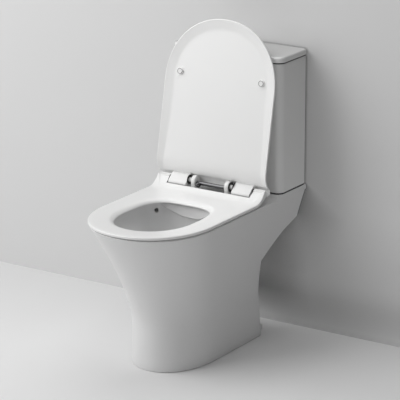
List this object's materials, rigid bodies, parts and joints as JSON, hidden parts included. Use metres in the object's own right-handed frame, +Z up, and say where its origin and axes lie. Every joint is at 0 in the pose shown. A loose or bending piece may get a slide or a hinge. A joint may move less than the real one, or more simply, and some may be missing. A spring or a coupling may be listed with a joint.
{
  "type": "rimless toilet",
  "caption": "Close-coupled rimless toilet with a slim hinged seat and lid, a flared pan, a cistern with a button flush, and its valves inside.",
  "frame": {"origin": "on the floor, under the middle of the whole box: midway between the seat front and the cistern back, on the plane of symmetry", "axes": "+Z up, +Y towards the wall, +X to the right as seen by someone who faces the toilet"},
  "size_m": [0.365, 0.689, 0.9165],
  "materials": {
    "glazed_china": "glossy white glaze",
    "seat_plastic": "smooth gloss white",
    "hinge_plastic": "gloss white",
    "spacer_plastic": "satin, off white",
    "buffer_rubber": "soft satin, off white",
    "polished_metal": "polished",
    "steel": "satin",
    "brass": "cast",
    "black_rubber": "matt",
    "grey_rubber": "matt",
    "damper_plastic": "matt",
    "seal_red": "matt",
    "valve_white": "satin moulded",
    "valve_blue": "satin moulded",
    "float_yellow": "satin moulded"
  },
  "bodies": {
    "base": {"pan_bowl": "glazed_china", "pan_shelf": "glazed_china", "pan_foot": "glazed_china", "cistern_tank": "glazed_china", "cistern_lid": "glazed_china", "hinge_post_left": "hinge_plastic", "hinge_post_right": "hinge_plastic", "axle_spacers": "spacer_plastic", "jet_nozzle": "spacer_plastic", "button_bezel": "polished_metal", "hinge_axles": "steel", "hinge_studs": "steel", "coupling_bolts": "steel", "bolt_plates": "steel", "rocker_pin": "steel", "lever_pin": "steel", "coupling_wing_nuts": "brass", "coupling_gasket": "black_rubber", "bolt_seals": "black_rubber", "flush_valve_washer": "black_rubber", "fill_valve_seal": "black_rubber", "expanding_plugs": "black_rubber", "hinge_pads": "grey_rubber", "flush_valve_body": "valve_white", "flush_valve_nut": "valve_white", "fill_valve_body": "valve_white", "fill_valve_nut": "valve_white", "bezel_nut": "valve_white", "fill_valve_cap": "valve_blue"},
    "seat": {"seat_ring": "seat_plastic", "seat_buffers": "buffer_rubber", "seat_bushes": "spacer_plastic"},
    "lid": {"lid_cover": "seat_plastic", "lid_buffers": "buffer_rubber", "lid_barrels": "hinge_plastic", "damper_cores": "damper_plastic"},
    "release": {"release_bar": "polished_metal", "ball_knob": "polished_metal"},
    "flush_lift": {"overflow_tube": "valve_blue", "flush_seal": "seal_red"},
    "rocker": {"flush_rocker": "valve_white"},
    "float": {"float_cup": "float_yellow"},
    "lever": {"float_lever": "valve_white"},
    "full_button": {"full_flush_button": "polished_metal", "full_flush_rod": "valve_white"},
    "half_button": {"half_flush_button": "polished_metal", "half_flush_rod": "valve_white"}
  },
  "joints": [
    {"name": "lid_hinge", "type": "hinge", "parent": "base", "child": "lid", "pos_m": [0, 0.1335, 0.458], "axis": [-1, 0, 0], "range_deg": [-101, 0]},
    {"name": "seat_hinge", "type": "hinge", "parent": "base", "child": "seat", "pos_m": [0, 0.1335, 0.458], "axis": [-1, 0, 0], "range_deg": [0, 100]},
    {"name": "bar_slide", "type": "slide", "parent": "base", "child": "release", "axis": [-1, 0, 0], "range_m": [0, 0.0025], "stiffness_N_per_m": 300, "springref_m": -0.004},
    {"name": "full_flush", "type": "slide", "parent": "base", "child": "full_button", "axis": [0, 0, -1], "range_m": [0, 0.006], "stiffness_N_per_m": 400, "springref_m": -0.006},
    {"name": "half_flush", "type": "slide", "parent": "base", "child": "half_button", "axis": [0, 0, -1], "range_m": [0, 0.006], "stiffness_N_per_m": 400, "springref_m": -0.006},
    {"name": "valve_lift", "type": "slide", "parent": "base", "child": "flush_lift", "axis": [0, 0, 1], "range_m": [0, 0.0125]},
    {"name": "rocker_turn", "type": "hinge", "parent": "base", "child": "rocker", "pos_m": [0, 0.274, 0.722], "axis": [0, -1, 0], "range_deg": [0, 36]},
    {"name": "float_slide", "type": "slide", "parent": "base", "child": "float", "axis": [0, 0, 1], "range_m": [0, 0.014]},
    {"name": "lever_turn", "type": "hinge", "parent": "base", "child": "lever", "pos_m": [0.13, 0.274, 0.718], "axis": [0, 1, 0], "range_deg": [0, 22.5]}
  ],
  "couplings": [
    {"joint": "valve_lift", "follows": "full_flush", "ratio": 2},
    {"joint": "rocker_turn", "follows": "full_flush", "rad_per_m": 87.27},
    {"joint": "lever_turn", "follows": "float_slide", "rad_per_m": 26.3}
  ]
}
